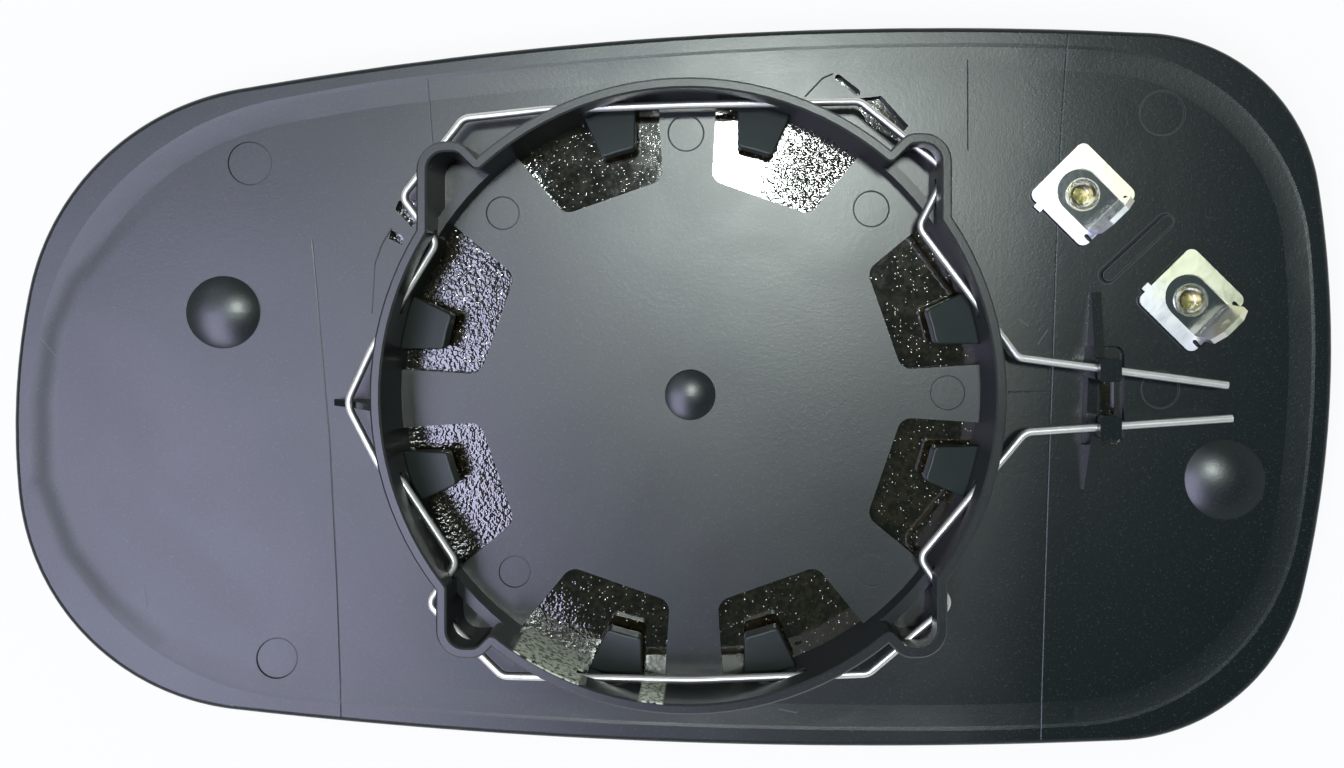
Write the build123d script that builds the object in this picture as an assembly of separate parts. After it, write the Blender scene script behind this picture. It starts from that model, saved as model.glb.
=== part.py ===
from build123d import *
from math import atan2, copysign, degrees, hypot, sqrt
import os

# Replacement glass of a car door mirror, lying on its reflecting face: convex glass, heater pad,
# moulded carrier plate with the actuator socket, a bent spring wire and two heater terminals.
# The origin is the socket's centre on the plate's back face, +X runs along the glass, +Z out of the back.
# All sizes are in millimetres and all angles in degrees.

# Layers, all parallel to the convex glass
back_radius = 1400.0
plate_thickness = 2.2
pad_thickness = 0.5
glass_thickness = 2.0
glass_proud = 0.8
glass_arris = 0.3

# Outline of the plate: four large arcs, each given by its furthest point and radius, with rounded corners
top_reach, top_peak, top_radius = 51.2, 32.9, 535.8
right_reach, right_peak, right_radius = 89.6, 5.8, 145.0
bottom_reach, bottom_peak, bottom_radius = 50.1, 22.1, 681.5
left_reach, left_peak, left_radius = 94.2, -4.6, 93.8
top_right_corner = 25.2
bottom_right_corner = 27.4
bottom_left_corner = 34.2
top_left_corner = 36.1

# Edge of the plate: a lip round the glass, and a raised border on the back
lip_width = 1.4
glass_gap = 0.3
border_width = 4.4
border_rise = 0.2
border_slope = 2.0
border_spread = 8.0
border_hollow = 30.0
edge_round = 0.7

# Actuator socket: a round wall with four ears that the spring wire runs through, each given by its corner
socket_bore = 81.8
socket_height = 12.0
wall = 1.4
wall_bevel = 0.25
ears = [(33.6, 33.5), (-34.7, 32.4), (-32.1, -33.4), (33.0, -33.4)]
ear_flat = 3.9
ear_root = 20.0
ear_slant = 5.0
ear_corner = 2.4
ear_shoulder = 1.4
ear_neck = 1.0
bar_height = 5.0

# Eight windows round the socket's floor, with a snap lug over each
window_side = 4.1
window_near = (29.8, 3.4)
window_far = (24.9, 17.4)
window_exit = (38.0, 28.2)
window_corner = 2.0
window_shifts = [-0.4, 0.5, 1.1, 0.4]
lug_inner_radius = 34.6
lug_near_side = 7.1
lug_far_start, lug_far_end = (30.0, 10.6), (45.0, 17.4)
lug_bottom = 1.6
lug_tip_top = 4.8
lug_root_top = 3.2
lug_corner = 0.7
lug_round = 0.25

# Openings of the plate beside the upper ears, each a list of corners
right_ear_window = [(22.9, 41.2), (26.9, 41.6), (30.7, 37.4), (29.0, 35.4), (25.2, 37.4)]
left_ear_window = [(-41.2, 26.8), (-41.7, 25.6), (-39.4, 23.1), (-38.4, 24.2), (-38.4, 27.0)]
left_ear_slot = [(-42.3, 22.7), (-40.5, 21.8), (-40.8, 20.6), (-42.6, 21.5)]
right_ear_slot_ends = [(20.8, 44.2), (23.5, 42.1)]
right_ear_slot_width = 0.9

# Spring wire: one piece, bent in a plane, from its upper free end round the socket to its lower free end
wire_diameter = 1.1
wire_level = 6.5
wire_play = 0.4
wire_start, wire_end = (73.6, 1.1), (74.2, -3.4)
# Each bend: where the straight runs would meet, and the radius there
wire_bends = [
    (44.9, 4.9, 1.6), (31.4, 22.8, 1.6), (35.2, 30.4, 1.4), (23.3, 39.9, 2.0), (0.0, 39.5, 200.0),
    (-19.8, 38.8, 20.0), (-30.9, 37.6, 2.0), (-39.3, 26.9, 1.4), (-34.6, 20.6, 1.6), (-43.4, 6.2, 12.0),
    (-46.9, -1.4, 3.0), (-42.4, -10.0, 3.0), (-39.4, -11.9, 3.0), (-31.9, -23.2, 1.6), (-35.7, -28.7, 1.4),
    (-25.6, -38.6, 2.0), (0.0, -39.2, 60.0), (24.4, -38.3, 2.0), (35.7, -28.8, 1.4), (31.5, -22.4, 1.6),
    (45.9, -5.3, 2.2),
]

# Wire guide: a low rib with two hooked posts that the wire's free legs snap under
guide_x = 55.6
guide_turn = -2.2
rib_thickness = 1.4
rib_half_length = 13.9
rib_offset = 0.7
rib_low = 1.0
rib_high = 4.4
post_size = 3.2
post_depth = 2.9
post_stem = 1.0
post_top = 8.6
post_round = 0.6
post_play = 0.03
guide_recess_left, guide_recess_right = 1.9, 5.4
guide_recess_reach = 2.0
guide_recess_depth = 1.2
guide_recess_corner = 1.2
guide_slot_gap = 0.9
guide_slot_width = 2.0

# Gusset that stiffens the socket where the wire passes it
gusset_y = -1.6
gusset_foot = 8.7
gusset_thickness = 0.9

# Round stop bumps on the back, each with its place and base radius
bumps = [(-65.7, 11.1, 5.1), (74.9, -12.4, 5.5), (-0.1, -0.6, 3.6)]
bump_fullness = 0.82

# Ejector pin marks: places and radii
pin_marks = [
    (-61.9, 32.0, 3.0), (-58.1, -37.5, 2.8), (-0.7, 36.4, 2.5), (-26.6, 25.1, 2.3), (25.5, 25.7, 2.5),
    (36.3, -0.3, 2.4), (66.1, 39.0, 3.1), (66.0, 0.2, 2.6), (-24.9, -25.6, 2.2), (25.6, -25.4, 2.2),
]
pin_mark_depth = 0.2

# Heater terminals: pressed plates with an upright blade, riveted on by eyelets
# Each has its place, the lean of its blade, and the place of the nib left where it was sheared off
terminals = {"upper": (55.0, 27.6, 1.0, (-3.1, -5.4)), "lower": (70.0, 12.8, 4.0, (-5.4, -3.1))}
terminal_turn = -45.0
tab_side = 10.7
tab_thickness = 0.6
tab_corner = 1.1
tab_lift = 0.4
nib_side = 1.2
cup_radius = 3.2
cup_back = 0.6
cup_front = 4.0
blade_width = 6.3
blade_thickness = 0.8
blade_height = 7.8
blade_chamfer = 1.7
relief_length, relief_width = 1.3, 0.6
blade_hole = 1.8
blade_hole_level = 5.6
eyelet_bore = 2.8
eyelet_wall = 0.3
eyelet_rim = 4.7
eyelet_groove = 4.0
eyelet_rim_height = 0.6
eyelet_foot = 5.0
eyelet_foot_height = 0.3
eyelet_floor = 0.2
eyelet_play = 0.1

# Creepage bead between the terminals
bead_ends = [(58.6, 16.3), (66.6, 23.8)]
bead_width = 1.7
bead_height = 0.9

# Gap left under a piece that lies on another, and how near two points count as one
seat_gap = 0.02
same_place = 0.01

# Sizes that follow from the driving ones
socket_radius = socket_bore / 2
wall_middle = socket_radius + wall / 2
pad_depth = plate_thickness + pad_thickness
glass_depth = pad_depth + glass_thickness
glass_inset = lip_width + glass_gap
wire_radius = wire_diameter / 2
root_depth = plate_thickness / 2
reach = socket_height + glass_depth
post_x = guide_x + post_depth / 2
upright = Plane(origin=(0, 0, 0), x_dir=(0, 1, 0), z_dir=(1, 0, 0))


def sag(x, y):
    return back_radius - sqrt(back_radius**2 - x**2 - y**2)


def ball(depth):
    # The space above a surface that lies this far below the plate's back face
    return Pos(0, 0, back_radius) * Rot(0, -90, 0) * Sphere(back_radius + depth)


def seat(x, y, turn):
    # A plane that lies on the plate's back face, turned about the normal there
    level = sag(x, y)
    normal = Vector(-x, -y, back_radius - level)
    return Plane(origin=(x, y, level), x_dir=Vector(1, 0, 0).rotate(Axis.Z, turn), z_dir=normal)


def outline(inset, spread=0):
    # The left arc bounds only the left half, so the right half is added to its circle
    shape = Pos(left_radius - left_reach, left_peak) * Circle(left_radius - inset)
    shape += Pos(right_reach, 0) * Rectangle(2 * right_reach, 2 * right_reach)
    shape &= Pos(top_peak, top_reach - top_radius) * Circle(top_radius - inset)
    shape &= Pos(right_reach - right_radius, right_peak) * Rot(0, 0, 180) * Circle(right_radius - inset)
    shape &= Pos(bottom_peak, bottom_radius - bottom_reach) * Circle(bottom_radius - inset)
    corners = {
        (1, 1): top_right_corner,
        (1, -1): bottom_right_corner,
        (-1, -1): bottom_left_corner,
        (-1, 1): top_left_corner,
    }
    for (side, height), radius in corners.items():
        corner = max(shape.vertices(), key=lambda v: side * v.X + height * v.Y)
        shape = fillet(corner, radius - inset + spread)
    return shape


def prism(face, bottom=-reach, top=reach):
    return Pos(0, 0, bottom) * extrude(face, amount=top - bottom, dir=(0, 0, 1))


def polygon(points):
    return make_face(Polyline(*points, close=True))


def nearest(shape, place):
    return min(shape.vertices(), key=lambda v: hypot(v.X - place[0], v.Y - place[1]))


def sunk_back():
    # The space above the plate's back face, with a sloped side that runs on past the border's top
    space = prism(outline(border_width - 2 * border_slope, border_spread)) & ball(0)
    floor = space.faces().filter_by(GeomType.SPHERE)[0]
    space = chamfer(floor.outer_wire().edges(), 2 * border_slope, 2 * border_rise, reference=floor)
    floor = space.faces().filter_by(GeomType.SPHERE)[0]
    return fillet(floor.outer_wire().edges(), border_hollow)


def carrier_plate():
    lip_depth = glass_depth - glass_proud
    plate = prism(outline(0)) & (ball(lip_depth) - ball(-border_rise))
    top = plate.faces().filter_by(GeomType.SPHERE).sort_by(Axis.Z)[-1]
    plate = fillet(top.outer_wire().edges(), edge_round)
    return plate - sunk_back() - (prism(outline(lip_width)) - ball(plate_thickness))


def at_distance(shape, distance):
    return [v for v in shape.vertices() if abs(hypot(v.X, v.Y) - distance) < same_place]


def socket_shape():
    # The socket's inside, seen from above: the bore with an ear at each diagonal
    shape = Circle(socket_radius)
    for x, y in ears:
        across, up = copysign(1, x), copysign(1, y)
        shoulder = (x - across * ear_flat, y)
        slant_end = (shoulder[0] - across * ear_slant, y - up * ear_slant)
        shape += polygon([(x, up * ear_root), (x, y), shoulder, slant_end])
        shape = fillet(nearest(shape, (x, y)), ear_corner)
        shape = fillet(nearest(shape, shoulder), ear_shoulder)
    return shape


def wire_path():
    corners = [(x, y) for x, y, radius in wire_bends]
    radii = [radius for x, y, radius in wire_bends]
    return Pos(0, 0, wire_level) * FilletPolyline(wire_start, *corners, wire_end, radius=radii)


def along_wire(path, profile):
    start = Plane(origin=path @ 0, x_dir=(0, 0, 1), z_dir=path % 0)
    return sweep(start * profile, path=path)


def gusset():
    root, foot = -wall_middle, -socket_radius - wall - gusset_foot
    face = polygon([(root, 0), (root, socket_height), (foot, 0)])
    web = Rot(90, 0, 0) * extrude(face, amount=gusset_thickness)
    return Pos(0, gusset_y + gusset_thickness / 2, 0) * web


def socket_wall():
    shape = socket_shape()
    wall_face = offset(shape, amount=wall) - fillet(at_distance(shape, socket_radius), ear_neck)
    low_face = Circle(socket_radius + wall) - Circle(socket_radius)
    walls = prism(wall_face, -root_depth, socket_height)
    walls = chamfer(walls.faces().sort_by(Axis.Z)[-1].edges(), wall_bevel)
    passage = wire_diameter + 2 * wire_play
    walls += gusset()
    walls -= along_wire(wire_path(), Rectangle(passage, passage))
    return walls + prism(low_face, -root_depth, bar_height)


def round_socket(face):
    # Eight copies: a mirrored pair on each side of the socket, moved a little along that side
    both = face + mirror(face, about=Plane.XZ)
    pairs = [Rot(0, 0, 90 * quarter) * Pos(0, shift) * both for quarter, shift in enumerate(window_shifts)]
    return Sketch() + pairs


def socket_window():
    start, end = (socket_radius, window_side), (socket_radius, window_exit[1])
    shape = polygon([start, window_near, window_far, window_exit, end])
    return fillet([nearest(shape, window_near), nearest(shape, window_far)], window_corner)


def within(edges, distance):
    middles = [(edge, edge @ 0.5) for edge in edges]
    return [edge for edge, middle in middles if hypot(middle.X, middle.Y) < distance]


def snap_lugs():
    tip, root = lug_inner_radius, wall_middle
    section = [(tip, lug_bottom), (root, lug_bottom), (root, lug_root_top), (tip, lug_tip_top)]
    band = revolve(Rot(90, 0, 0) * polygon(section), axis=Axis.Z)
    near_start, near_end = (lug_far_start[0], lug_near_side), (lug_far_end[0], lug_near_side)
    lugs = band & prism(round_socket(polygon([near_start, near_end, lug_far_end, lug_far_start])))
    lugs = fillet(within(lugs.edges().filter_by(Axis.Z), tip + same_place), lug_corner)
    return fillet(within(lugs.faces().filter_by(GeomType.CONE).edges(), root - wall / 2), lug_round)


def slot_face(ends, width):
    (x0, y0), (x1, y1) = ends
    turn = degrees(atan2(y1 - y0, x1 - x0))
    slot = SlotCenterToCenter(hypot(x1 - x0, y1 - y0), width)
    return Pos((x0 + x1) / 2, (y0 + y1) / 2) * Rot(0, 0, turn) * slot


def bump(x, y, base_radius):
    height = base_radius * bump_fullness
    radius = (base_radius**2 + height**2) / (2 * height)
    return Pos(x, y, sag(x, y) + height - radius) * Sphere(radius) & ball(root_depth)


def leg_slope(end, bend):
    return (bend[1] - end[1]) / (bend[0] - end[0])


def guide_posts():
    # The two hooked posts stand where the wire's free legs pass
    upper = wire_start[1] + leg_slope(wire_start, wire_bends[0]) * (post_x - wire_start[0])
    lower = wire_end[1] + leg_slope(wire_end, wire_bends[-1]) * (post_x - wire_end[0])
    return upper, lower


def guide_rib(middle, half_span):
    # A thin rib whose top rises from each end to the posts and is low between them
    level = sag(guide_x, 0)
    foot, low, high = level - root_depth, level + rib_low, level + rib_high
    top, bottom = rib_offset + rib_half_length, rib_offset - rib_half_length
    side = [
        (top, foot), (top, low), (half_span, high), (half_span, low),
        (-half_span, low), (-half_span, high), (bottom, low), (bottom, foot),
    ]
    rib = extrude(upright * polygon(side), amount=rib_thickness)
    return Pos(guide_x, middle) * Rot(0, 0, guide_turn) * rib


def hooked_post(outward, slope):
    # A post round the wire: its stem is on the outer side and its mouth opens towards the other post
    grip = wire_radius + post_play
    head = fillet(Rectangle(post_depth, post_size).vertices(), post_round)
    middle = outward * (grip + post_stem - post_size / 2)
    mouth = Pos(0, outward * (grip - post_size), wire_level) * Box(2 * post_depth, 2 * post_size, 2 * grip)
    post = prism(Pos(0, middle) * head, sag(guide_x, 0) - root_depth, post_top)
    return post - Rot(0, 0, degrees(atan2(slope, 1))) * mouth


def wire_guide():
    upper, lower = guide_posts()
    guide = guide_rib((upper + lower) / 2, (upper - lower) / 2)
    guide += Pos(post_x, upper) * hooked_post(1, leg_slope(wire_start, wire_bends[0]))
    guide += Pos(post_x, lower) * hooked_post(-1, leg_slope(wire_end, wire_bends[-1]))
    return guide


def guide_recess():
    upper, lower = guide_posts()
    left, right = guide_x - guide_recess_left, guide_x + guide_recess_right
    top, bottom = upper + post_stem + guide_recess_reach, lower - post_stem - guide_recess_reach
    face = fillet(Rectangle(right - left, top - bottom).vertices(), guide_recess_corner)
    return prism(Pos((left + right) / 2, (top + bottom) / 2) * face) & ball(guide_recess_depth)


def guide_slot():
    upper, lower = guide_posts()
    left = guide_x + rib_thickness + guide_slot_gap
    slot = Rectangle(guide_slot_width, upper - lower)
    return prism(Pos(left + guide_slot_width / 2, (upper + lower) / 2) * slot)


def eyelet_hole(x, y):
    shank = Circle(eyelet_bore / 2 + eyelet_wall + eyelet_play)
    foot = Circle(eyelet_foot / 2 + eyelet_play)
    drill = prism(shank) + prism(foot, -reach, -plate_thickness + eyelet_foot_height)
    return seat(x, y, terminal_turn) * drill


def backing_plate():
    plate = carrier_plate()
    windows = [prism(round_socket(socket_window()) & Circle(socket_radius))]
    windows += [prism(polygon(points)) for points in (right_ear_window, left_ear_window, left_ear_slot)]
    windows.append(prism(slot_face(right_ear_slot_ends, right_ear_slot_width)))
    for x, y, radius in pin_marks:
        windows.append(prism(Pos(x, y) * Circle(radius)) & ball(pin_mark_depth))
    windows += [guide_recess(), guide_slot()]
    windows += [eyelet_hole(x, y) for x, y, lean, nib in terminals.values()]
    plate -= windows
    plate += socket_wall()
    plate += snap_lugs()
    plate += [bump(*place) for place in bumps]
    plate += prism(slot_face(bead_ends, bead_width)) & (ball(root_depth) - ball(-bead_height))
    return plate + wire_guide()


def spring_wire():
    return along_wire(wire_path(), Circle(wire_radius))


def layer(top_depth, bottom_depth):
    return prism(outline(glass_inset)) & (ball(bottom_depth) - ball(top_depth))


def mirror_glass():
    # Both edges of the glass are ground to a small arris
    glass = layer(pad_depth, glass_depth)
    for side in (0, -1):
        face = glass.faces().filter_by(GeomType.SPHERE).sort_by(Axis.Z)[side]
        glass = chamfer(face.outer_wire().edges(), glass_arris)
    return glass


def cup_face(extra):
    # The terminal's D-shaped well: round behind the eyelet, open towards the blade
    run = cup_front + cup_back
    straight = Pos((cup_front - cup_back) / 2, 0) * Rectangle(run, 2 * (cup_radius + extra))
    return Pos(-cup_back, 0) * Circle(cup_radius + extra) + straight


def blade():
    face = Pos(0, blade_height / 2) * Rectangle(blade_width, blade_height)
    face = chamfer(face.vertices().sort_by(Axis.Y)[-2:], blade_chamfer)
    face -= Pos(0, blade_hole_level) * Circle(blade_hole / 2)
    return extrude(upright * face, amount=blade_thickness)


def terminal(x, y, lean, nib):
    sheet = fillet(Rectangle(tab_side, tab_side).vertices(), tab_corner)
    sheet += Pos(*nib) * Rectangle(nib_side, nib_side)
    relief = SlotOverall(relief_length, relief_width)
    for side in (1, -1):
        sheet -= Pos(cup_front + blade_thickness, side * (blade_width + relief_length) / 2) * relief
    rim = prism(sheet - cup_face(0), seat_gap + tab_lift, seat_gap + tab_lift + tab_thickness)
    floor = prism(sheet & cup_face(tab_thickness), seat_gap, seat_gap + tab_thickness)
    floor -= prism(Circle(eyelet_bore / 2 + eyelet_wall + eyelet_play))
    tab = rim + floor + Pos(cup_front, 0, seat_gap + tab_thickness / 2) * Rot(0, lean, 0) * blade()
    return seat(x, y, terminal_turn) * tab


def eyelet(x, y):
    bore, shank = eyelet_bore / 2, eyelet_bore / 2 + eyelet_wall
    foot_bottom = -plate_thickness + seat_gap
    foot_top = -plate_thickness + eyelet_foot_height
    rim_bottom = seat_gap + tab_thickness
    rim_top = rim_bottom + eyelet_rim_height
    bead_top = rim_bottom + eyelet_rim_height / 2
    floor = foot_bottom + eyelet_floor
    section = [
        (0, floor), (0, foot_bottom), (eyelet_foot / 2, foot_bottom), (eyelet_foot / 2, foot_top),
        (shank, foot_top), (shank, rim_bottom),
        (eyelet_rim / 2, rim_bottom), (eyelet_rim / 2, bead_top),
        ((eyelet_rim + eyelet_groove) / 4, bead_top), (eyelet_groove / 2, rim_bottom + seat_gap),
        (shank, rim_top), (bore, bead_top), (bore, floor),
    ]
    return seat(x, y, terminal_turn) * revolve(Rot(90, 0, 0) * polygon(section), axis=Axis.Z)


parts = {
    "backing_plate": backing_plate(),
    "heater_pad": layer(plate_thickness, pad_depth),
    "mirror_glass": mirror_glass(),
    "spring_wire": spring_wire(),
}
for name, (x, y, lean, nib) in terminals.items():
    parts["terminal_" + name] = terminal(x, y, lean, nib)
    parts["eyelet_" + name] = eyelet(x, y)

os.makedirs("parts", exist_ok=True)
for name, part in parts.items():
    export_step(part, f"parts/{name}.step")
    print(name, round(part.volume, 1), "mm3")
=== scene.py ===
import math
import bpy
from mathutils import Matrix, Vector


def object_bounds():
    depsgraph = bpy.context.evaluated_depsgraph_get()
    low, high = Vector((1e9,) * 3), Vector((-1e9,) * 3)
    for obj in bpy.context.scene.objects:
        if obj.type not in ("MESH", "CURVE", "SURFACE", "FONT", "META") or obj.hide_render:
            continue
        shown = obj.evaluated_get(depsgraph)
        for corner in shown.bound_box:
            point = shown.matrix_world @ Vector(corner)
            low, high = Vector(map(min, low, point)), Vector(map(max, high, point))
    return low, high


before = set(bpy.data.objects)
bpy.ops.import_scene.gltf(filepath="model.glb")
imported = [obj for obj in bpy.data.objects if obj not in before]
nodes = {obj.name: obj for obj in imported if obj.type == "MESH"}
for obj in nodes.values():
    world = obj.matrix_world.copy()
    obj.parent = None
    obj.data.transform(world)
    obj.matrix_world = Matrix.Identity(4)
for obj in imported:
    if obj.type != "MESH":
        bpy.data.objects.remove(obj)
cadBox = [list(corner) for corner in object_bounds()]
mm = 0.001
print("frame loaded:", len(nodes), "nodes")


# node helpers: a value that is a socket is linked, any other value is set
def addNode(tree, kind, inputs=None, **settings):
    node = tree.nodes.new(kind)
    for name, value in settings.items():
        setattr(node, name, value)
    for key, value in (inputs or {}).items():
        socket = node.inputs[key]
        if isinstance(value, bpy.types.NodeSocket):
            tree.links.new(value, socket)
        else:
            socket.default_value = value
    return node


def calc(tree, operation, *values, clamp=False):
    node = addNode(tree, "ShaderNodeMath", dict(enumerate(values)), operation=operation, use_clamp=clamp)
    return node.outputs[0]


def vectorCalc(tree, operation, *values, output="Vector"):
    node = addNode(tree, "ShaderNodeVectorMath", dict(enumerate(values)), operation=operation)
    return node.outputs[output]


def ramp(tree, value, low, high, outLow=0.0, outHigh=1.0):
    inputs = {"Value": value, "From Min": low, "From Max": high, "To Min": outLow, "To Max": outHigh}
    return addNode(tree, "ShaderNodeMapRange", inputs, interpolation_type="SMOOTHSTEP").outputs["Result"]


def blendColour(tree, amount, first, second):
    return addNode(tree, "ShaderNodeMix", {0: amount, 6: first, 7: second}, data_type="RGBA").outputs[2]


def noise(tree, place, scale, detail=2.0, roughness=0.5, distortion=0.0):
    inputs = {"Vector": place, "Scale": scale, "Detail": detail, "Roughness": roughness,
              "Distortion": distortion}
    return addNode(tree, "ShaderNodeTexNoise", inputs).outputs["Fac"]


def newGroup(name, inputs, outputs):
    group = bpy.data.node_groups.new(name, "ShaderNodeTree")
    for label, kind in inputs:
        group.interface.new_socket(label, in_out="INPUT", socket_type=kind)
    for label, kind in outputs:
        group.interface.new_socket(label, in_out="OUTPUT", socket_type=kind)
    return group, group.nodes.new("NodeGroupInput").outputs, group.nodes.new("NodeGroupOutput").inputs


def placeGroup(tree, group, inputs):
    return addNode(tree, "ShaderNodeGroup", inputs, node_tree=group).outputs


# millimetre place on the piece, read from Object coordinates
def placeInMm(tree):
    place = addNode(tree, "ShaderNodeTexCoord").outputs["Object"]
    inputs = {"Vector": place, "Scale": (1000.0, 1000.0, 1000.0)}
    return addNode(tree, "ShaderNodeMapping", inputs).outputs["Vector"]


# the same place with its height left out
def flatten(tree, place):
    return vectorCalc(tree, "MULTIPLY", place, (1.0, 1.0, 0.0))


# hairline: one minus the distance from a point to a straight run, over half the line's width
def makeHairline():
    inputs = [("Place", "NodeSocketVector"), ("Start", "NodeSocketVector"), ("End", "NodeSocketVector"),
              ("Width", "NodeSocketFloat")]
    group, given, result = newGroup("hairline", inputs, [("Mask", "NodeSocketFloat")])
    run = vectorCalc(group, "SUBTRACT", given["End"], given["Start"])
    away = vectorCalc(group, "SUBTRACT", given["Place"], given["Start"])
    share = calc(group, "DIVIDE", vectorCalc(group, "DOT_PRODUCT", away, run, output="Value"),
                 vectorCalc(group, "DOT_PRODUCT", run, run, output="Value"), clamp=True)
    foot = addNode(group, "ShaderNodeVectorMath", {0: run, "Scale": share}, operation="SCALE").outputs[0]
    gap = vectorCalc(group, "DISTANCE", away, foot, output="Value")
    mask = calc(group, "SUBTRACT", 1.0, calc(group, "DIVIDE", gap, given["Width"]), clamp=True)
    group.links.new(mask, result["Mask"])
    return group


# round mark: a soft disc, and a thin line where the distance from its centre equals the radius
def makeRoundMark():
    inputs = [("Place", "NodeSocketVector"), ("Centre", "NodeSocketVector"), ("Radius", "NodeSocketFloat"),
              ("Width", "NodeSocketFloat")]
    outputs = [("Disc", "NodeSocketFloat"), ("Line", "NodeSocketFloat")]
    group, given, result = newGroup("roundMark", inputs, outputs)
    gap = vectorCalc(group, "DISTANCE", given["Place"], given["Centre"], output="Value")
    past = calc(group, "DIVIDE", calc(group, "SUBTRACT", gap, given["Radius"]), given["Width"])
    group.links.new(calc(group, "SUBTRACT", 0.5, past, clamp=True), result["Disc"])
    group.links.new(calc(group, "SUBTRACT", 1.0, calc(group, "ABSOLUTE", past), clamp=True), result["Line"])
    return group


# crinkled skin: a fine uneven surface, and a few small blisters, each at the middle of a cell
crinkleLook = {"chance": (0.6, 1.0), "blister": (0.32, 0.1)}


def makeCrinkle():
    inputs = [("Place", "NodeSocketVector"), ("Scale", "NodeSocketFloat"), ("Spacing", "NodeSocketFloat")]
    outputs = [("Height", "NodeSocketFloat"), ("Blisters", "NodeSocketFloat")]
    group, given, result = newGroup("crinkle", inputs, outputs)
    group.links.new(noise(group, given["Place"], given["Scale"], 1.0), result["Height"])
    cellInputs = {"Vector": given["Place"], "Scale": given["Spacing"]}
    cells = addNode(group, "ShaderNodeTexVoronoi", cellInputs).outputs
    chance = addNode(group, "ShaderNodeSeparateXYZ", {0: cells["Color"]}).outputs["X"]
    chosen = ramp(group, chance, *crinkleLook["chance"])
    blister = ramp(group, cells["Distance"], *crinkleLook["blister"])
    group.links.new(calc(group, "MULTIPLY", blister, chosen), result["Blisters"])
    return group


# mould grain: fine pebbles of two sizes, painted glints as pale flecks on the highest, and slow cloudy
# patches
grainLook = {"coarseScale": 0.37, "coarseShare": 0.8, "paintedGlint": (0.6, 0.75), "patchScale": 0.045}


def makeGrain():
    inputs = [("Place", "NodeSocketVector"), ("Scale", "NodeSocketFloat")]
    outputs = [("Height", "NodeSocketFloat"), ("PaintedGlints", "NodeSocketFloat"), ("Patches", "NodeSocketFloat")]
    group, given, result = newGroup("mouldGrain", inputs, outputs)
    fine = noise(group, given["Place"], given["Scale"], 1.0)
    coarseScale = calc(group, "MULTIPLY", given["Scale"], grainLook["coarseScale"])
    coarse = noise(group, given["Place"], coarseScale, 1.0)
    both = calc(group, "ADD", fine, calc(group, "MULTIPLY", coarse, grainLook["coarseShare"]))
    group.links.new(both, result["Height"])
    group.links.new(ramp(group, fine, *grainLook["paintedGlint"]), result["PaintedGlints"])
    patches = noise(group, given["Place"], grainLook["patchScale"], 3.0, 0.55, 0.6)
    group.links.new(patches, result["Patches"])
    return group


# scuffs: thin streaks of stretched noise in two crossing directions
scuffLook = {
    "turns": [(0.6, (1.0, 0.035, 1.0)), (-0.9, (0.03, 1.0, 1.0))],
    "streak": (0.66, 0.74),
    "patch": (0.48, 0.62),
    "patchScale": 0.06,
}


def makeScuffs():
    group, given, result = newGroup("scuffs", [("Place", "NodeSocketVector"), ("Scale", "NodeSocketFloat")],
                                    [("Mask", "NodeSocketFloat")])
    streaks = []
    for turn, stretch in scuffLook["turns"]:
        inputs = {"Vector": given["Place"], "Rotation": (0.0, 0.0, turn), "Scale": stretch}
        turned = addNode(group, "ShaderNodeMapping", inputs).outputs["Vector"]
        streaks.append(ramp(group, noise(group, turned, given["Scale"], 2.0, 0.6), *scuffLook["streak"]))
    patchy = ramp(group, noise(group, given["Place"], scuffLook["patchScale"], 2.0), *scuffLook["patch"])
    both = calc(group, "MAXIMUM", streaks[0], streaks[1])
    group.links.new(calc(group, "MULTIPLY", both, patchy), result["Mask"])
    return group


hairline = makeHairline()
roundMark = makeRoundMark()
crinkle = makeCrinkle()
mouldGrain = makeGrain()
scuffs = makeScuffs()
print("shared effects made")


def newMaterial(name):
    material = bpy.data.materials.new(name)
    material.use_nodes = True
    tree = material.node_tree
    return material, tree, tree.nodes["Principled BSDF"]


def bump(tree, height, distance, **others):
    inputs = {"Height": height, "Distance": distance, "Strength": 1.0, **others}
    return addNode(tree, "ShaderNodeBump", inputs).outputs[0]


# links a value to one of the shader's inputs
def feed(tree, shader, socket, value):
    tree.links.new(value, shader.inputs[socket])


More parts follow.
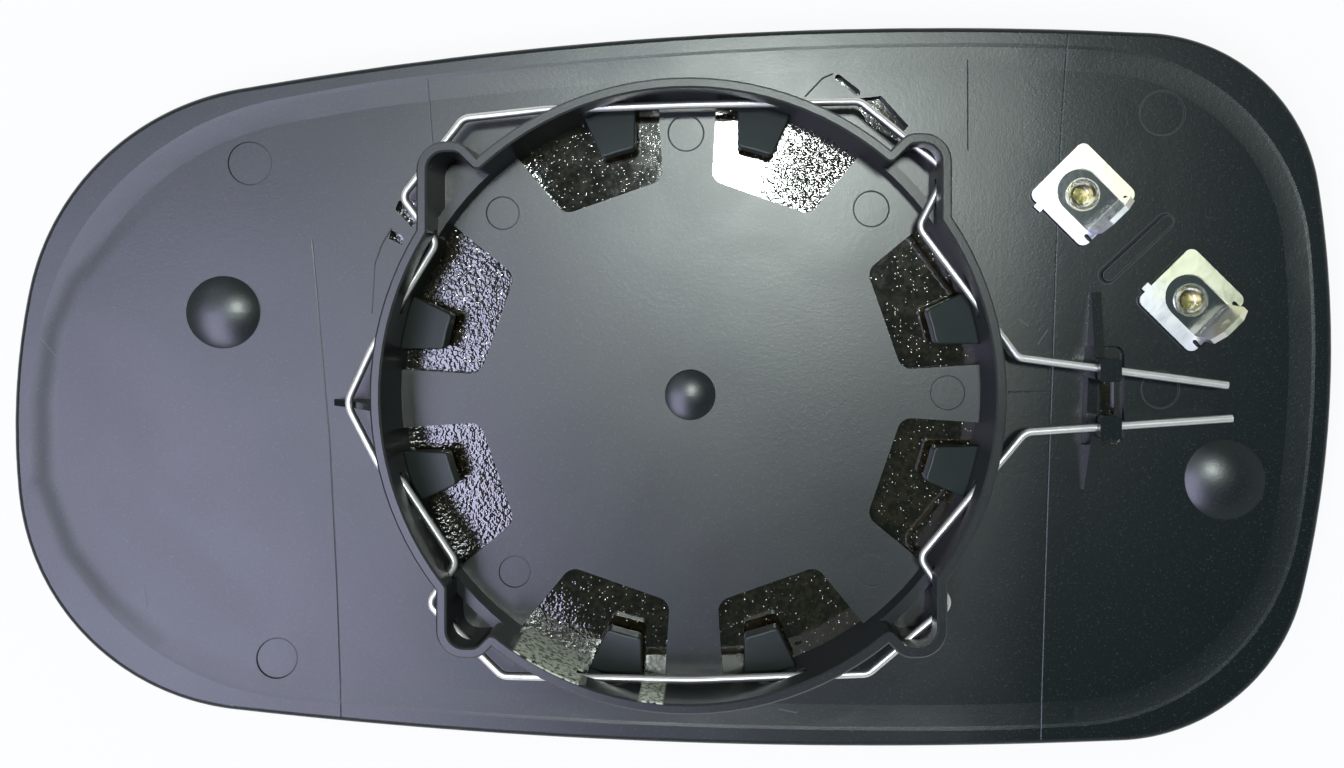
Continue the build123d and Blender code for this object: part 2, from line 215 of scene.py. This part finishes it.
# satin black moulding; places and widths in millimetres
plastic = {
    "dark": (0.002, 0.0048, 0.0052, 1.0),
    "light": (0.0036, 0.0072, 0.0078, 1.0),
    "lug": (0.017, 0.025, 0.021, 1.0),
    # dark ring lines of the pin marks, and painted shade along the bead's foot
    "pinLineAndPaintedShade": (0.002, 0.003, 0.003, 1.0),
    "patches": (0.3, 0.7),
    "roughness": (0.28, 0.315),
    "smoothRoughness": 0.225,
    "smoothEdge": (50.95, 0.0386),
    "smoothBlend": (-13.0, 2.5),
    "domeRoughness": 0.3,
    "domeFlatness": 0.66,
    "domeEdge": 0.1,
    "lugRoughness": 0.46,
    "lugLevels": [(1.5, 1.9), (5.2, 5.0)],
    "lugRadii": [(33.0, 34.0), (40.8, 40.5)],
    "wallRadii": (40.8, 42.5),
    "wallEdge": 0.1,
    "wallRise": (0.6, 0.4),
    "wallRoughness": 0.58,
    "wallFrom": (5.0, 20.0),
    # painted light: cream patches on the socket wall's inner face, bright in the film's reflection
    "smudgeAndPaintedLight": (0.8, 0.85, 0.68, 1.0),
    "paintedLightSpans": [(-23.2, -14.6), (-6.6, -3.4)],
    "paintedLightEdge": 0.2,
    "paintedLightLow": (-30.5, -31.0),
    "paintedLightRadii": [(40.7, 40.8), (41.1, 41.0)],
    "paintedLightFoot": (-2.1, -1.8),
    "smudgeAndPaintedLightScale": 1.6,
    "paintedLightPatches": (0.38, 0.52),
    "smudgeAndPaintedLightRoughness": 0.5,
    "ior": 1.62,
    "grainScale": 3.6,
    "grainDepth": 0.006,
    # painted glints: pale flecks on the grain's highest pebbles
    "paintedGlint": (0.021, 0.031, 0.032, 1.0),
    "seamWidth": 0.12,
    "seamDepth": 0.024,
    "seams": [
        [(-53.3, 21.3), (-52.0, 5.8), (-50.9, -6.9), (-49.8, -27.3), (-49.0, -46.2)],
        [(-37.0, 43.8), (-36.4, 34.7)],
        [(52.9, 50.0), (51.95, 33.9), (51.1, 6.5), (50.4, -12.6), (49.05, -49.7)],
        [(39.0, 46.6), (39.1, 34.0)],
        [(44.9, -0.2), (51.0, -0.2)],
        [(-42.2, 22.9), (-43.6, 20.6), (-44.6, 17.8), (-45.0, 11.0)],
        [(16.2, 41.6), (18.6, 44.1), (20.0, 44.7)],
    ],
    "scratch": (0.12, 0.12, 0.125, 1.0),
    "scratchShare": 0.6,
    "scratchRoughness": 0.5,
    "scratchWidth": 0.09,
    "scratches": [[(-90.6, 7.6), (-88.6, 5.0)], [(49.0, 6.6), (50.3, 8.6)], [(46.2, 10.2), (47.6, 9.2)],
                  [(-76.4, -27.0), (-75.9, -30.4)], [(12.4, -44.9), (15.0, -45.4)]],
    "domes": [(-65.7, 11.1, 5.2), (74.9, -12.4, 5.6), (-0.1, -0.6, 3.7)],
    "sinkWidth": 1.9,
    "sinkEnds": (-73.5, -86.0),
    "sinkShare": (0.25, 0.9),
    "sinkRoughness": 0.48,
    "sink": [(-74.0, 27.8), (-79.7, 22.4), (-86.0, 15.3), (-89.0, 8.6), (-90.4, -1.2), (-90.2, -12.3),
             (-86.5, -22.0), (-81.1, -29.0), (-74.7, -34.6)],
    "bead": [(58.6, 16.3), (66.6, 23.8)],
    "beadLine": (1.02, 0.34),
    "beadRoughness": 0.85,
    "pinLine": 0.14,
    "pinShare": 0.5,
    "pinRoughness": 0.7,
    "pins": [(-61.9, 32.0, 3.0), (-58.1, -37.5, 2.8), (-0.7, 36.4, 2.5), (-26.6, 25.1, 2.3),
             (25.5, 25.7, 2.5), (36.3, -0.3, 2.4), (66.1, 39.0, 3.1), (66.0, 0.2, 2.6),
             (-24.9, -25.6, 2.2), (25.6, -25.4, 2.2)],
    "flaw": (-90.4, -13.2, 1.3),
    "flawEdge": 1.2,
    "flawScale": 0.8,
    "flawDepth": 0.07,
}


def lineMask(tree, place, lines, width):
    total = None
    for line in lines:
        for start, end in zip(line, line[1:]):
            mask = placeGroup(tree, hairline, {"Place": place, "Start": (*start, 0.0), "End": (*end, 0.0),
                                               "Width": width})["Mask"]
            total = mask if total is None else calc(tree, "MAXIMUM", total, mask)
    return total


def roundMarks(tree, place, marks, width, output):
    total = None
    for x, y, radius in marks:
        mask = placeGroup(tree, roundMark, {"Place": place, "Centre": (x, y, 0.0), "Radius": radius,
                                            "Width": width})[output]
        total = mask if total is None else calc(tree, "MAXIMUM", total, mask)
    return total


# rises to one at the right seam, where across exceeds a line that leans with the height on the plate
def smoothMask(tree, flat):
    start, lean = plastic["smoothEdge"]
    before, after = plastic["smoothBlend"]
    past = vectorCalc(tree, "DOT_PRODUCT", flat, (1.0, -lean, 0.0), output="Value")
    return ramp(tree, past, start + before, start + after)


# one over the snap lugs: inside the socket, between the plate and the wire
def lugMask(tree, place, flat):
    level = addNode(tree, "ShaderNodeSeparateXYZ", {0: place}).outputs["Z"]
    spread = vectorCalc(tree, "LENGTH", flat, output="Value")
    band = calc(tree, "MULTIPLY", *[ramp(tree, level, *limits) for limits in plastic["lugLevels"]])
    inside = calc(tree, "MULTIPLY", *[ramp(tree, spread, *limits) for limits in plastic["lugRadii"]])
    return calc(tree, "MULTIPLY", band, inside)


# one on the socket wall's steep faces, towards its right
def wallMask(tree, flat):
    facing = addNode(tree, "ShaderNodeNewGeometry").outputs["Normal"]
    rise = calc(tree, "ABSOLUTE", addNode(tree, "ShaderNodeSeparateXYZ", {0: facing}).outputs["Z"])
    spread = vectorCalc(tree, "LENGTH", flat, output="Value")
    inner, outer = plastic["wallRadii"]
    edge = plastic["wallEdge"]
    near = calc(tree, "MULTIPLY", ramp(tree, spread, inner - edge, inner),
                ramp(tree, spread, outer + edge, outer))
    across = addNode(tree, "ShaderNodeSeparateXYZ", {0: flat}).outputs["X"]
    steep = calc(tree, "MULTIPLY", near, ramp(tree, rise, *plastic["wallRise"]))
    return calc(tree, "MULTIPLY", steep, ramp(tree, across, *plastic["wallFrom"]))


# painted light: patchy cream on the wall's inner face, over two spans at the lower left, kept off the
# wall's foot; the film reflects it
def paintedLightMask(tree, place, flat):
    parts = addNode(tree, "ShaderNodeSeparateXYZ", {0: place}).outputs
    edge = plastic["paintedLightEdge"]
    total = None
    for left, right in plastic["paintedLightSpans"]:
        span = calc(tree, "MULTIPLY", ramp(tree, parts["X"], left - edge, left + edge),
                    ramp(tree, parts["X"], right + edge, right - edge))
        total = span if total is None else calc(tree, "MAXIMUM", total, span)
    low = ramp(tree, parts["Y"], *plastic["paintedLightLow"])
    spread = vectorCalc(tree, "LENGTH", flat, output="Value")
    face = calc(tree, "MULTIPLY", *[ramp(tree, spread, *limits) for limits in plastic["paintedLightRadii"]])
    patchy = ramp(tree, noise(tree, place, plastic["smudgeAndPaintedLightScale"], 2.0), *plastic["paintedLightPatches"])
    patchy = calc(tree, "MULTIPLY", patchy, ramp(tree, parts["Z"], *plastic["paintedLightFoot"]))
    return calc(tree, "MULTIPLY", calc(tree, "MULTIPLY", total, low), calc(tree, "MULTIPLY", face, patchy))


# the domes catch the light as lower caps would: their slope is eased towards straight up
def domeNormal(tree, dome):
    own = addNode(tree, "ShaderNodeNewGeometry").outputs["Normal"]
    share = calc(tree, "MULTIPLY", dome, plastic["domeFlatness"])
    inputs = {0: share, 4: own, 5: (0.0, 0.0, 1.0)}
    eased = addNode(tree, "ShaderNodeMix", inputs, data_type="VECTOR").outputs[1]
    return vectorCalc(tree, "NORMALIZE", eased)


# painted shade: one along the foot of the bead, at a set distance from its middle line
def beadOutline(tree, flat):
    distance, width = plastic["beadLine"]
    near = lineMask(tree, flat, [plastic["bead"]], 2 * distance)
    off = calc(tree, "ABSOLUTE", calc(tree, "SUBTRACT", near, 0.5))
    return ramp(tree, off, width / (2 * distance), 0.0)


def makePlastic():
    material, tree, shader = newMaterial("satinBlackPlastic")
    place = placeInMm(tree)
    flat = flatten(tree, place)
    grain = placeGroup(tree, mouldGrain, {"Place": place, "Scale": plastic["grainScale"]})
    seam = lineMask(tree, flat, plastic["seams"], plastic["seamWidth"])
    scratch = lineMask(tree, flat, plastic["scratches"], plastic["scratchWidth"])
    dome = roundMarks(tree, flat, plastic["domes"], plastic["domeEdge"], "Disc")
    across = addNode(tree, "ShaderNodeSeparateXYZ", {0: flat}).outputs["X"]
    sink = ramp(tree, lineMask(tree, flat, [plastic["sink"]], plastic["sinkWidth"]), 0.0, 1.0)
    sink = calc(tree, "MULTIPLY", sink, ramp(tree, across, *plastic["sinkEnds"], *plastic["sinkShare"]))
    paintedBeadShade = beadOutline(tree, flat)
    pinLine = roundMarks(tree, flat, plastic["pins"], plastic["pinLine"], "Line")
    flaw = roundMarks(tree, flat, [plastic["flaw"]], plastic["flawEdge"], "Disc")
    lug = lugMask(tree, place, flat)
    wall = wallMask(tree, flat)
    smudgeAndPaintedLight = paintedLightMask(tree, place, flat)
    smooth = smoothMask(tree, flat)
    colour = blendColour(tree, grain["Patches"], plastic["dark"], plastic["light"])
    # painted glints: pale flecks on the highest grain
    colour = blendColour(tree, grain["PaintedGlints"], colour, plastic["paintedGlint"])
    scratched = calc(tree, "MULTIPLY", scratch, plastic["scratchShare"])
    colour = blendColour(tree, scratched, colour, plastic["scratch"])
    colour = blendColour(tree, lug, colour, plastic["lug"])
    # painted light: cream patches on the wall's inner face
    colour = blendColour(tree, smudgeAndPaintedLight, colour, plastic["smudgeAndPaintedLight"])
    # painted shade along the bead's foot, with the dark ring lines of the pin marks
    pinLineAndPaintedShade = calc(tree, "MAXIMUM", calc(tree, "MULTIPLY", pinLine, plastic["pinShare"]), paintedBeadShade)
    colour = blendColour(tree, pinLineAndPaintedShade, colour, plastic["pinLineAndPaintedShade"])
    feed(tree, shader, "Base Color", colour)
    rough = ramp(tree, grain["Patches"], *plastic["patches"], *plastic["roughness"])
    finishes = [("smooth", smooth), ("sink", sink), ("dome", dome), ("wall", wall), ("smudgeAndPaintedLight", smudgeAndPaintedLight),
                ("lug", lug), ("pin", pinLine), ("bead", paintedBeadShade), ("scratch", scratch)]
    for name, mask in finishes:
        goal = plastic[name + "Roughness"]
        rough = addNode(tree, "ShaderNodeMix", {0: mask, 2: rough, 3: goal}).outputs[0]
    feed(tree, shader, "Roughness", rough)
    height = calc(tree, "MULTIPLY", grain["Height"], plastic["grainDepth"])
    height = calc(tree, "SUBTRACT", height, calc(tree, "MULTIPLY", seam, plastic["seamDepth"]))
    lump = calc(tree, "MULTIPLY", noise(tree, place, plastic["flawScale"], 2.0),
                calc(tree, "MULTIPLY", flaw, plastic["flawDepth"]))
    relief = bump(tree, calc(tree, "ADD", height, lump), mm, Normal=domeNormal(tree, dome))
    feed(tree, shader, "Normal", relief)
    shader.inputs["IOR"].default_value = plastic["ior"]
    return material


# glossy crinkled heater film, with a painted shadow line at the lower left along the gap at the socket
# wall's foot
film = {
    "dark": (0.0095, 0.0075, 0.0028, 1.0),
    "brown": (0.027, 0.021, 0.0095, 1.0),
    # painted glints: pale specks on the blisters
    "paintedBlisterGlint": (0.24, 0.23, 0.21, 1.0),
    "mottle": (0.8, 1.25),
    "clouds": (0.3, 0.7),
    "cloudScale": 0.475,
    "crinkleScale": 1.9,
    "crinkleDepth": (0.005, 0.06),
    "crinkleFrom": (-16.0, -33.0),
    "roughPatches": [(18.5, 31.0, 7.0), (-20.0, -35.5, 5.0), (-24.5, 29.5, 3.0)],
    "patchEdge": 6.0,
    "patchDepth": 0.095,
    "blisterSpacing": 2.6,
    "blisterDepth": 0.014,
    "roughness": (0.05, 0.075),
    "ior": 2.0,
    "paintedGapShadowStart": (-23.15, -33.77),
    "paintedGapShadowEnd": (-14.26, -37.78),
    "paintedGapShadowWidth": 0.22,
}


def makeFilm():
    material, tree, shader = newMaterial("heaterFilm")
    place = placeInMm(tree)
    flat = flatten(tree, place)
    skin = placeGroup(tree, crinkle, {"Place": place, "Scale": film["crinkleScale"],
                                      "Spacing": film["blisterSpacing"]})
    clouds = noise(tree, place, film["cloudScale"], 2.0, 0.6)
    paintedGapShadow = lineMask(tree, flat, [[film["paintedGapShadowStart"], film["paintedGapShadowEnd"]]], film["paintedGapShadowWidth"])
    mottle = calc(tree, "ADD", clouds, skin["Height"])
    colour = blendColour(tree, ramp(tree, mottle, *film["mottle"]), film["dark"], film["brown"])
    # painted glints: pale specks on the blisters, besides the blisters' bump
    colour = blendColour(tree, skin["Blisters"], colour, film["paintedBlisterGlint"])
    # painted shadow: a dark line along the gap between the film and the socket wall
    colour = blendColour(tree, paintedGapShadow, colour, film["dark"])
    feed(tree, shader, "Base Color", colour)
    feed(tree, shader, "Roughness", ramp(tree, clouds, *film["clouds"], *film["roughness"]))
    across = addNode(tree, "ShaderNodeSeparateXYZ", {0: place}).outputs["X"]
    patch = roundMarks(tree, flat, film["roughPatches"], film["patchEdge"], "Disc")
    depth = calc(tree, "MAXIMUM", ramp(tree, across, *film["crinkleFrom"], *film["crinkleDepth"]),
                 calc(tree, "MULTIPLY", patch, film["patchDepth"]))
    height = calc(tree, "ADD", calc(tree, "MULTIPLY", skin["Height"], depth),
                  calc(tree, "MULTIPLY", skin["Blisters"], film["blisterDepth"]))
    feed(tree, shader, "Normal", bump(tree, height, mm))
    shader.inputs["IOR"].default_value = film["ior"]
    return material


# mirror glass: silvered face, greenish ground edge
glass = {
    "silver": (0.86, 0.88, 0.89, 1.0),
    "edge": (0.16, 0.22, 0.2, 1.0),
    "roughness": (0.02, 0.3),
    "facing": (-0.92, -0.8),
    "smudgeAndPaintedLightScale": 0.08,
    "smearShare": 0.02,
}


def makeGlass():
    material, tree, shader = newMaterial("mirrorGlass")
    facing = addNode(tree, "ShaderNodeTexCoord").outputs["Normal"]
    down = addNode(tree, "ShaderNodeSeparateXYZ", {0: facing}).outputs["Z"]
    front = ramp(tree, down, *glass["facing"], 1.0, 0.0)
    smudgeAndPaintedLight = noise(tree, placeInMm(tree), glass["smudgeAndPaintedLightScale"], 3.0)
    feed(tree, shader, "Base Color", blendColour(tree, front, glass["edge"], glass["silver"]))
    feed(tree, shader, "Metallic", front)
    clean, ground = glass["roughness"]
    rough = ramp(tree, front, 0.0, 1.0, ground, clean)
    smudgeAndPaintedLight = calc(tree, "MULTIPLY", smudgeAndPaintedLight, glass["smearShare"])
    feed(tree, shader, "Roughness", calc(tree, "ADD", rough, smudgeAndPaintedLight))
    return material


# bright drawn spring wire
steel = {
    "bright": (0.88, 0.87, 0.84, 1.0),
    "dull": (0.74, 0.74, 0.72, 1.0),
    "tone": (0.4, 0.75),
    "patches": (0.3, 0.7),
    "patchScale": 0.5,
    "roughness": (0.36, 0.46),
    "fineScale": 3.0,
    "fineDepth": 0.000006,
}


def makeSteel():
    material, tree, shader = newMaterial("springSteel")
    place = placeInMm(tree)
    patches = noise(tree, place, steel["patchScale"], 3.0, 0.6)
    fine = noise(tree, place, steel["fineScale"], 1.0)
    tone = ramp(tree, patches, *steel["tone"])
    feed(tree, shader, "Base Color", blendColour(tree, tone, steel["bright"], steel["dull"]))
    feed(tree, shader, "Roughness", ramp(tree, patches, *steel["patches"], *steel["roughness"]))
    feed(tree, shader, "Normal", bump(tree, fine, steel["fineDepth"]))
    shader.inputs["Metallic"].default_value = 1.0
    return material


# tin plate on the pressed terminals: a bright sheet, cream towards one side, with a smooth grey well
tin = {
    "cool": (0.7, 0.69, 0.74, 1.0),
    "cream": (0.79, 0.78, 0.59, 1.0),
    "well": (0.5, 0.49, 0.51, 1.0),
    "patches": (0.3, 0.7),
    "patchScale": 0.35,
    "roughness": (0.3, 0.4),
    "scuffScale": 2.5,
    "scuffShare": 0.1,
    "tintShare": 6.0,
    "fineScale": 1.3,
    "fineDepth": 0.00001,
    "wellRoughness": 0.13,
    "wellRadius": 3.2,
    "wellBack": 0.6,
    "wellFront": 4.2,
    "wellEdge": (0.15, 0.3),
    "turn": -math.pi / 4,
    "places": {"upper": (55.0, 27.6, 0.0), "lower": (70.0, 12.8, 0.0)},
    "creamFrom": {"upper": (-1.0, 4.0), "lower": (-4.5, 0.5)},
}


# the terminal's own axes: along x towards its blade, across y
def onTerminal(tree, place, centre):
    inputs = {"Vector": place, "Location": centre, "Rotation": (0.0, 0.0, tin["turn"])}
    return addNode(tree, "ShaderNodeMapping", inputs, vector_type="TEXTURE").outputs["Vector"]


# one in the well: within its radius of a point, or of the straight run from there to the blade
def wellMask(tree, own):
    parts = addNode(tree, "ShaderNodeSeparateXYZ", {0: own}).outputs
    behind = calc(tree, "MINIMUM", calc(tree, "ADD", parts["X"], tin["wellBack"]), 0.0)
    reach = addNode(tree, "ShaderNodeCombineXYZ", {0: behind, 1: parts["Y"]}).outputs[0]
    gap = vectorCalc(tree, "LENGTH", reach, output="Value")
    radius, front = tin["wellRadius"], tin["wellFront"]
    sideEdge, frontEdge = tin["wellEdge"]
    near = ramp(tree, gap, radius, radius - sideEdge)
    return calc(tree, "MULTIPLY", near, ramp(tree, parts["X"], front, front - frontEdge))


def makeTin(side):
    material, tree, shader = newMaterial("tinPlate" + side.capitalize())
    place = placeInMm(tree)
    own = onTerminal(tree, place, tin["places"][side])
    patches = noise(tree, place, tin["patchScale"], 2.0, 0.5, 0.4)
    scuffed = placeGroup(tree, scuffs, {"Place": place, "Scale": tin["scuffScale"]})["Mask"]
    well = wellMask(tree, own)
    across = addNode(tree, "ShaderNodeSeparateXYZ", {0: own}).outputs["Y"]
    drift = calc(tree, "MULTIPLY", calc(tree, "SUBTRACT", patches, 0.5), tin["tintShare"])
    tint = calc(tree, "ADD", across, drift)
    colour = blendColour(tree, ramp(tree, tint, *tin["creamFrom"][side]), tin["cool"], tin["cream"])
    feed(tree, shader, "Base Color", blendColour(tree, well, colour, tin["well"]))
    rough = ramp(tree, patches, *tin["patches"], *tin["roughness"])
    rough = calc(tree, "ADD", rough, calc(tree, "MULTIPLY", scuffed, tin["scuffShare"]))
    rough = addNode(tree, "ShaderNodeMix", {0: well, 2: rough, 3: tin["wellRoughness"]}).outputs[0]
    feed(tree, shader, "Roughness", rough)
    fine = noise(tree, place, tin["fineScale"], 2.0)
    feed(tree, shader, "Normal", bump(tree, fine, tin["fineDepth"]))
    shader.inputs["Metallic"].default_value = 1.0
    return material


# rolled brass eyelets, tinned on the rim
brass = {
    "gold": (0.34, 0.3, 0.13, 1.0),
    "goldRadius": 1.3,
    "goldEdge": 0.15,
    "tinned": (0.82, 0.81, 0.76, 1.0),
    "worn": (0.75, 0.45),
    "patches": (0.3, 0.7),
    "patchScale": 1.2,
    "roughness": (0.16, 0.26),
    "fineScale": 3.0,
    "fineDepth": 0.00001,
}


def makeBrass(side):
    material, tree, shader = newMaterial("rolledBrass" + side.capitalize())
    place = placeInMm(tree)
    patches = noise(tree, place, brass["patchScale"], 3.0, 0.6)
    own = flatten(tree, onTerminal(tree, place, tin["places"][side]))
    spread = vectorCalc(tree, "LENGTH", own, output="Value")
    rim = ramp(tree, spread, brass["goldRadius"], brass["goldRadius"] + brass["goldEdge"])
    worn = calc(tree, "MULTIPLY", rim, ramp(tree, patches, *brass["worn"]))
    feed(tree, shader, "Base Color", blendColour(tree, worn, brass["gold"], brass["tinned"]))
    feed(tree, shader, "Roughness", ramp(tree, patches, *brass["patches"], *brass["roughness"]))
    fine = noise(tree, place, brass["fineScale"], 2.0)
    feed(tree, shader, "Normal", bump(tree, fine, brass["fineDepth"]))
    shader.inputs["Metallic"].default_value = 1.0
    return material


def dress(node, material):
    mesh = nodes[node].data
    mesh.materials.clear()
    mesh.materials.append(material)


dress("backing_plate", makePlastic())
dress("heater_pad", makeFilm())
dress("mirror_glass", makeGlass())
dress("spring_wire", makeSteel())
for side in ("upper", "lower"):
    dress("terminal_" + side, makeTin(side))
    dress("eyelet_" + side, makeBrass(side))
print("materials made:", len(bpy.data.materials))


# pale floor under the glass: its own light for what the camera sees, with a trace of shadow
floorLook = {
    "size": 6.0,
    "colour": (0.9, 0.9, 0.9, 1.0),
    "cloud": (0.85, 0.85, 0.86, 1.0),
    "cloudScale": 3.0,
    "cloudShare": 0.1,
    "roughness": 0.8,
    "whiteShare": 0.86,
}


def makeFloor():
    half = floorLook["size"] / 2
    level = cadBox[0][2]
    corners = [(-half, -half, level), (half, -half, level), (half, half, level), (-half, half, level)]
    mesh = bpy.data.meshes.new("floor")
    mesh.from_pydata(corners, [], [(0, 1, 2, 3)])
    floor = bpy.data.objects.new("floor", mesh)
    bpy.context.scene.collection.objects.link(floor)
    material, tree, shader = newMaterial("paleFloor")
    place = addNode(tree, "ShaderNodeTexCoord").outputs["Object"]
    cloud = noise(tree, place, floorLook["cloudScale"], 2.0)
    share = calc(tree, "MULTIPLY", cloud, floorLook["cloudShare"])
    feed(tree, shader, "Base Color", blendColour(tree, share, floorLook["colour"], floorLook["cloud"]))
    shader.inputs["Roughness"].default_value = floorLook["roughness"]
    rays = addNode(tree, "ShaderNodeLightPath").outputs
    seen = calc(tree, "MAXIMUM", rays["Is Camera Ray"],
                calc(tree, "MAXIMUM", rays["Is Glossy Ray"], rays["Is Transmission Ray"]))
    glow = addNode(tree, "ShaderNodeEmission", {"Color": (1.0, 1.0, 1.0, 1.0), "Strength": 1.0}).outputs[0]
    amount = calc(tree, "MULTIPLY", seen, floorLook["whiteShare"])
    mix = addNode(tree, "ShaderNodeMixShader", {0: amount, 1: shader.outputs[0], 2: glow}).outputs[0]
    tree.links.new(mix, tree.nodes["Material Output"].inputs["Surface"])
    mesh.materials.append(material)


makeFloor()

# soft studio light: a lamp overhead, a wide cool panel at the left with a dim one above it, and pale walls
lights = {
    "lamp": {"shape": "ELLIPSE", "place": (0.026, 0.129, 1.2), "size": (0.12, 0.12), "power": 4.1,
             "colour": (0.9, 1.0, 0.95)},
    "panel": {"shape": "RECTANGLE", "place": (-0.425, -0.385, 1.0), "size": (0.5, 0.87), "power": 8.7,
              "colour": (0.715, 0.72, 1.0)},
    "panelTop": {"shape": "RECTANGLE", "place": (-0.425, 0.325, 1.0), "size": (0.5, 0.55), "power": 0.9,
                 "colour": (0.78, 0.86, 1.0)},
}
surround = {
    "top": (0.04, 0.066, 0.066, 1.0),
    "walls": (0.33, 0.37, 0.37, 1.0),
    "horizon": (0.95, 0.95, 0.95, 1.0),
    "topHeight": (0.78, 0.92),
    "wallHeight": (0.1, 0.35),
}


def addLight(name, shape, place, size, power, colour):
    light = bpy.data.lights.new(name, "AREA")
    light.shape = shape
    light.energy = power
    light.color = colour
    light.size, light.size_y = size
    holder = bpy.data.objects.new(name, light)
    holder.location = place
    holder.visible_camera = False
    bpy.context.scene.collection.objects.link(holder)


# surroundings by the height of the direction: white at the horizon, pale walls, dim overhead
def makeSurround():
    world = bpy.data.worlds.new("surround")
    world.use_nodes = True
    tree = world.node_tree
    direction = addNode(tree, "ShaderNodeTexCoord").outputs["Generated"]
    rise = addNode(tree, "ShaderNodeSeparateXYZ", {0: direction}).outputs["Z"]
    wall = ramp(tree, rise, *surround["wallHeight"])
    colour = blendColour(tree, wall, surround["horizon"], surround["walls"])
    colour = blendColour(tree, ramp(tree, rise, *surround["topHeight"]), colour, surround["top"])
    tree.links.new(colour, tree.nodes["Background"].inputs["Color"])
    bpy.context.scene.world = world


for name, light in lights.items():
    addLight(name, **light)
makeSurround()
print("light and floor set")

# camera straight above the plate, close, with the framing of the picture
view = {"foot": (5.53, 11.41), "height": 185.0, "pixelsPerMm": 7.056, "footPixel": (730.0, 310.0),
        "picture": (1344.0, 768.0), "sensor": 36.0, "nearest": 0.01}


def addCamera():
    data = bpy.data.cameras.new("camera")
    wide, tall = view["picture"]
    data.sensor_width = view["sensor"]
    data.lens = view["sensor"] * view["height"] * view["pixelsPerMm"] / wide
    data.shift_x = -(view["footPixel"][0] - wide / 2) / wide
    data.shift_y = -(tall / 2 - view["footPixel"][1]) / wide
    data.clip_start = view["nearest"]
    camera = bpy.data.objects.new("camera", data)
    camera.location = (view["foot"][0] * mm, view["foot"][1] * mm, view["height"] * mm)
    bpy.context.scene.collection.objects.link(camera)
    bpy.context.scene.camera = camera


addCamera()
bpy.context.scene.view_settings.view_transform = "Standard"
print("camera set")
